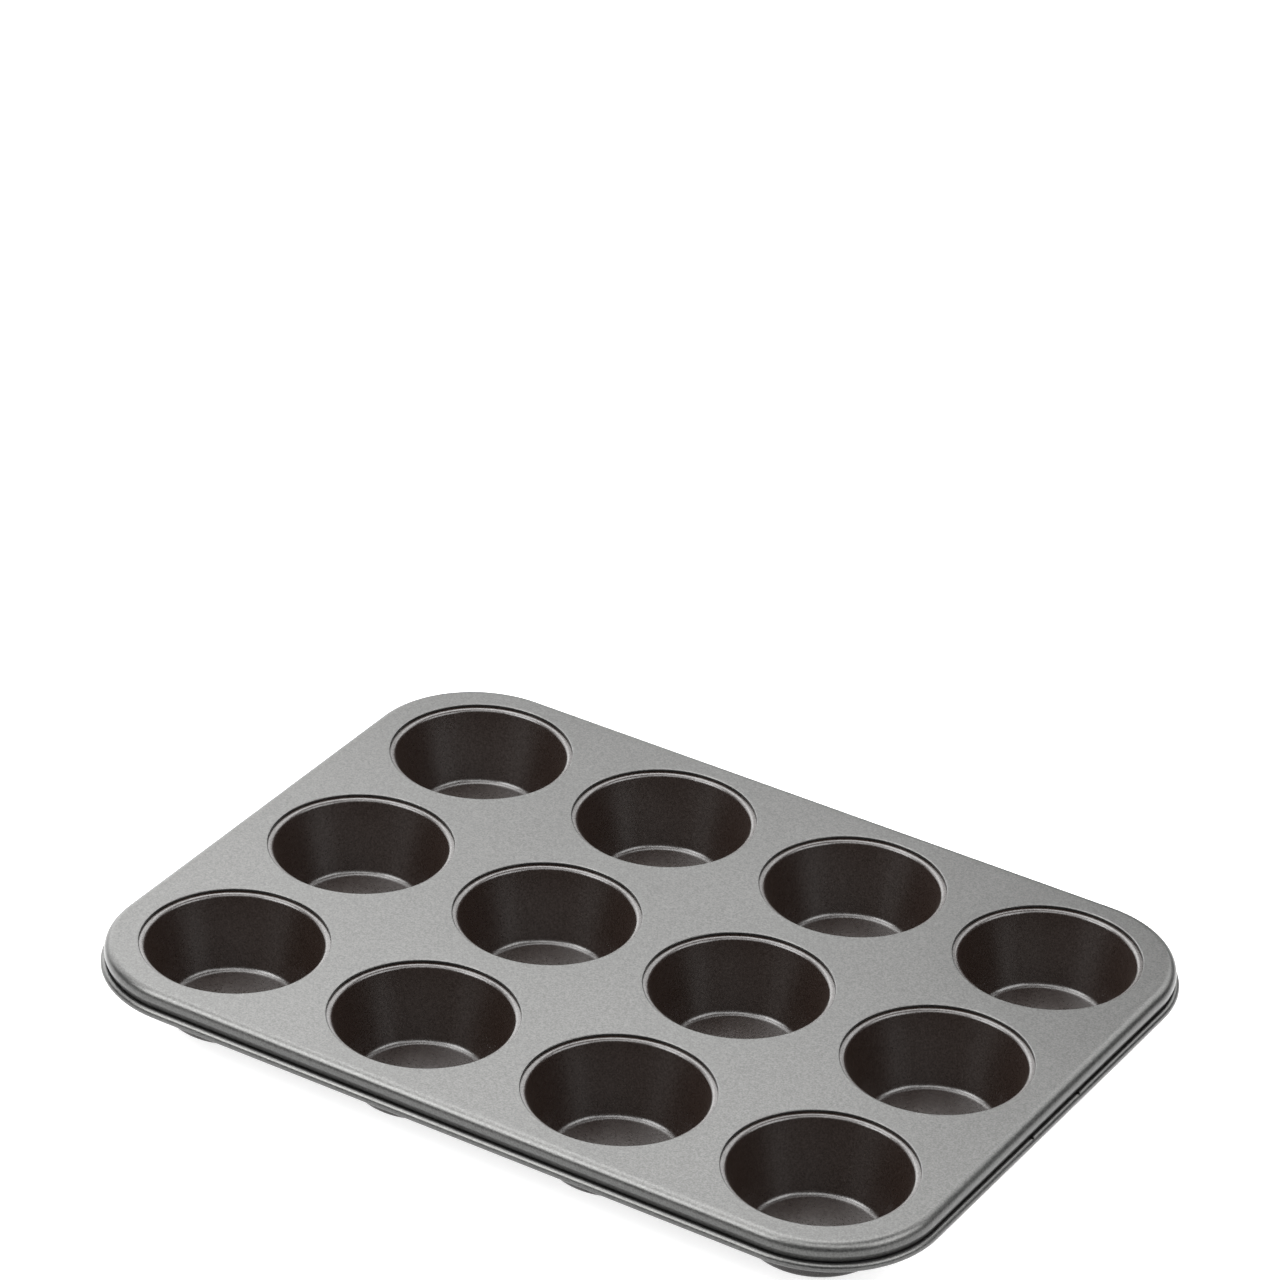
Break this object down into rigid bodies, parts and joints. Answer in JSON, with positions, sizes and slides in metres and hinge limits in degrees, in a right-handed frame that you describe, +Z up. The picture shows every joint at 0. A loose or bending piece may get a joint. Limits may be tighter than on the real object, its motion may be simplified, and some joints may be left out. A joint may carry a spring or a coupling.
{
  "type": "muffin tin",
  "caption": "Dark non-stick muffin tin: pressed steel sheet with a rolled, wired rim and rows of drawn round cups crimped into it.",
  "frame": {"origin": "centre of the bounding box in plan, on the surface the tin stands on", "axes": "+X along the long side, +Y across towards row 1, +Z up"},
  "size_m": [0.3504, 0.2616, 0.0302],
  "materials": {
    "sheet_coating": "satin metallic dark grey non-stick coating, fine grain",
    "cup_coating": "satin metallic dark grey non-stick coating, fine grain",
    "wire_steel": "plain drawn steel wire"
  },
  "bodies": {
    "root": {"top_sheet": "sheet_coating", "cup_r1c1": "cup_coating", "cup_r1c2": "cup_coating", "cup_r1c3": "cup_coating", "cup_r1c4": "cup_coating", "cup_r2c1": "cup_coating", "cup_r2c2": "cup_coating", "cup_r2c3": "cup_coating", "cup_r2c4": "cup_coating", "cup_r3c1": "cup_coating", "cup_r3c2": "cup_coating", "cup_r3c3": "cup_coating", "cup_r3c4": "cup_coating", "rim_wire": "wire_steel"}
  },
  "joints": []
}
